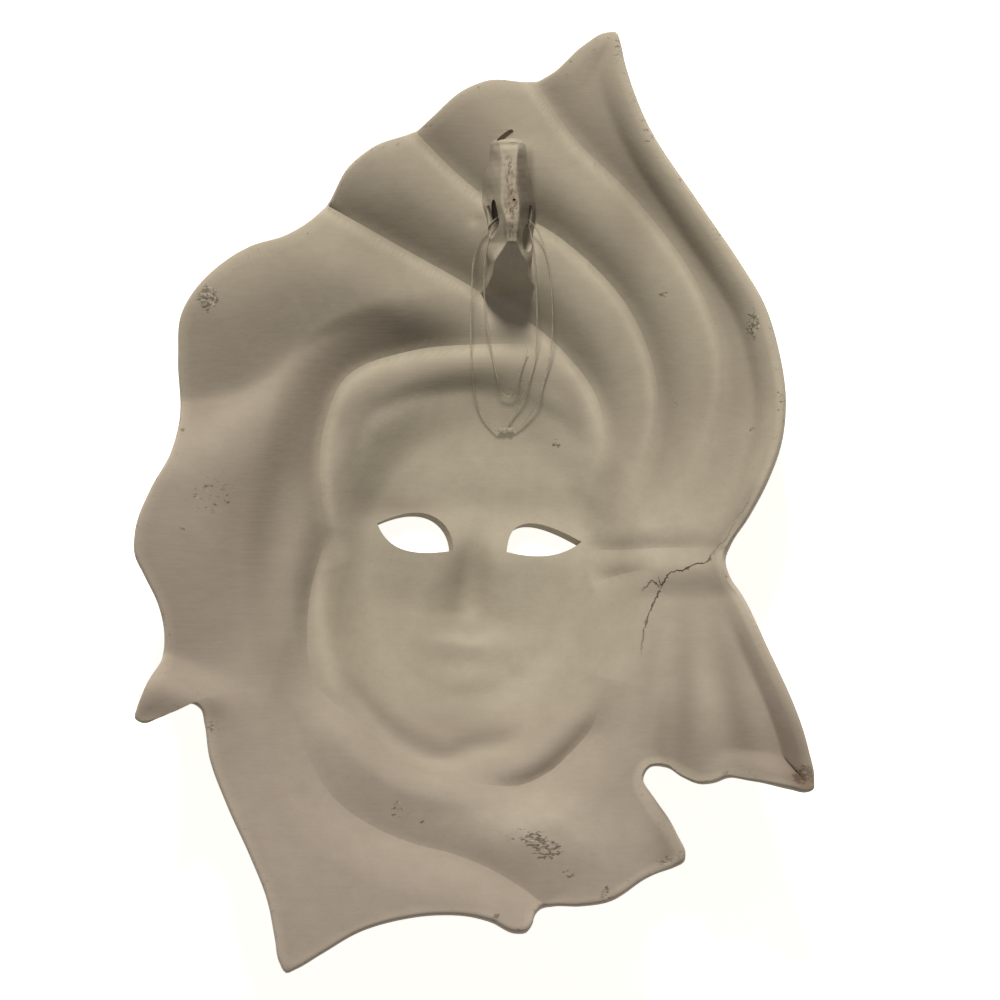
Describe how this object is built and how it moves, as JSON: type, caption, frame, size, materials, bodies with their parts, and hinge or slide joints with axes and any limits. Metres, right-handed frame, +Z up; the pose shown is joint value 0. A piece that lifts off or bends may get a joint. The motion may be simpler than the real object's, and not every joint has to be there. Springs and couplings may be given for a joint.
{
  "type": "wall mask",
  "caption": "Cast clay wall mask: an oval face with open eyes in a swirling folded hood with a pointed crown, modelled hollow side up, with a hanging lug and line inside.",
  "frame": {"origin": "on the table under the middle of the mask's box, with the mask lying on its front", "axes": "+X to the right looking into the hollow, +Y towards the crown's tip, +Z up out of the hollow"},
  "size_m": [0.3132, 0.4334, 0.0854],
  "materials": {
    "clay": "unglazed, matte, grey-beige, with fine brush marks and stains",
    "line": "clear nylon monofilament, slightly yellowed"
  },
  "bodies": {
    "root": {"mask": "clay", "line_outer": "line", "line_inner": "line", "line_knot": "line"}
  },
  "joints": []
}
